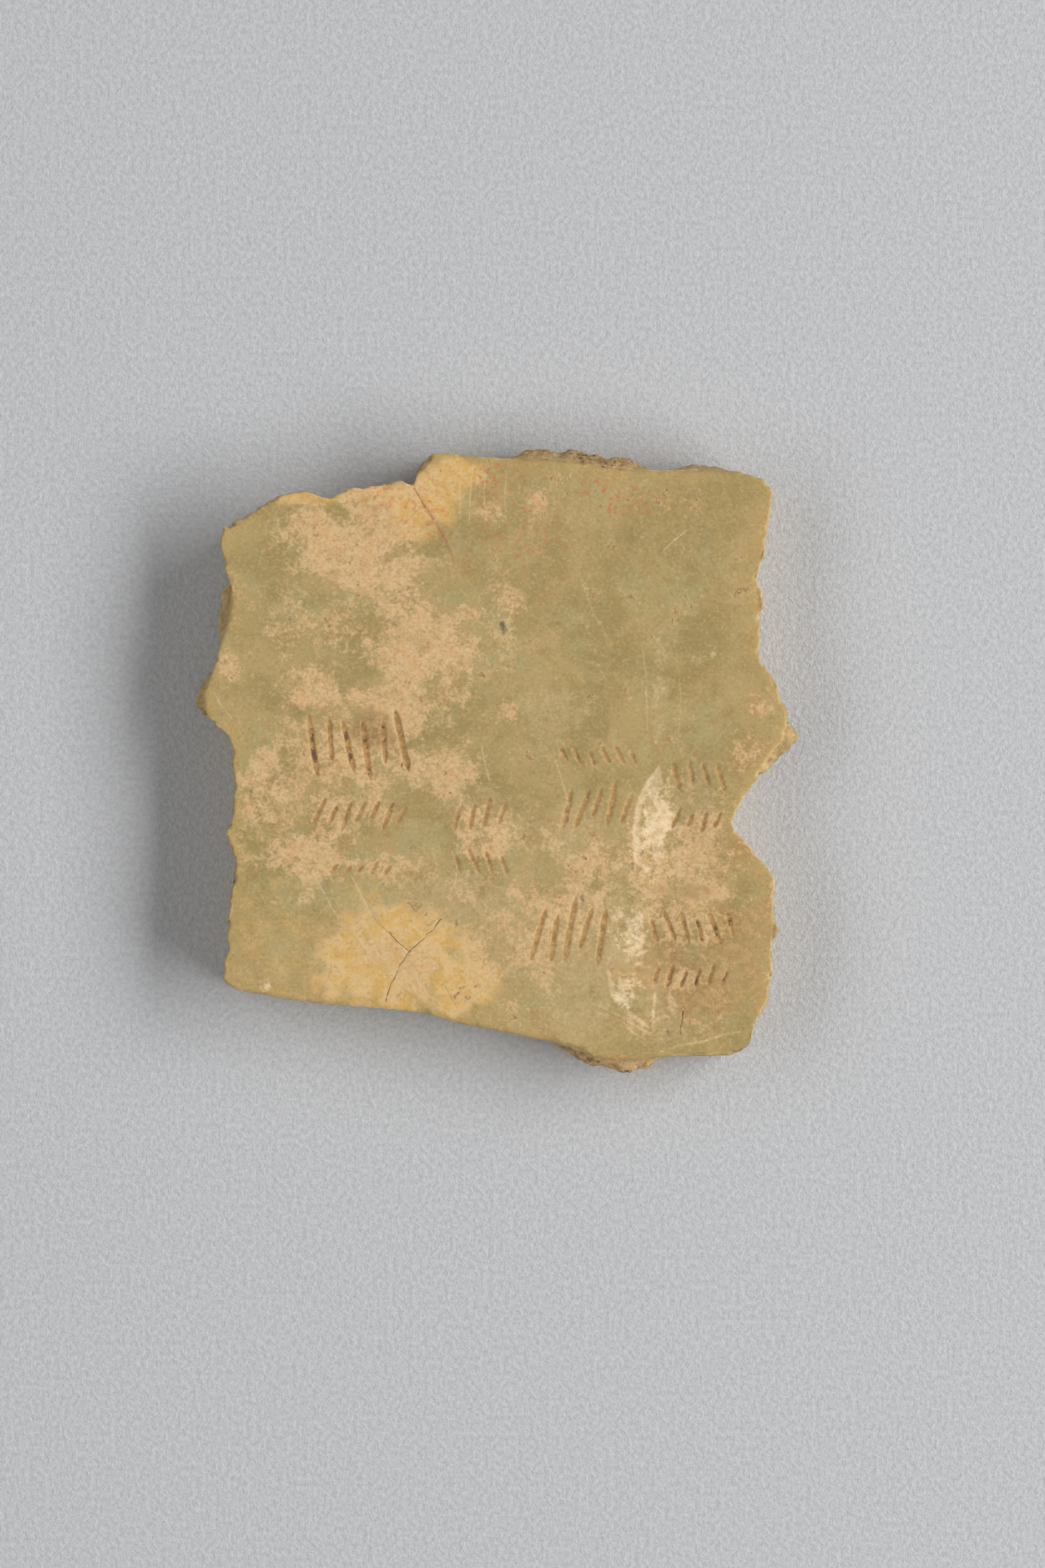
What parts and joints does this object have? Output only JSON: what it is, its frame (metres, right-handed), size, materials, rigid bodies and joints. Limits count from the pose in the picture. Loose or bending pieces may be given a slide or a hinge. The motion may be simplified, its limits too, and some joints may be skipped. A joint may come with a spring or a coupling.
{
  "type": "inscribed jade fragment",
  "caption": "Flat, polished fragment of olive green jade with worked and broken edges and rows of shallow incised strokes, lying loose with its inscribed face up.",
  "frame": {"origin": "on the table, under the middle of the fragment's box", "axes": "+Z up, out of the inscribed face; +Y towards the upper worked edge; +X to the right of someone who looks at the face with +Y up"},
  "size_m": [0.0384, 0.0394, 0.0044],
  "materials": {
    "jade": "worn polish, olive green with milky clouds, cream and orange weathered patches, brown soil in the cuts, rough breaks"
  },
  "bodies": {
    "root": {"jade_fragment": "jade"}
  },
  "joints": []
}
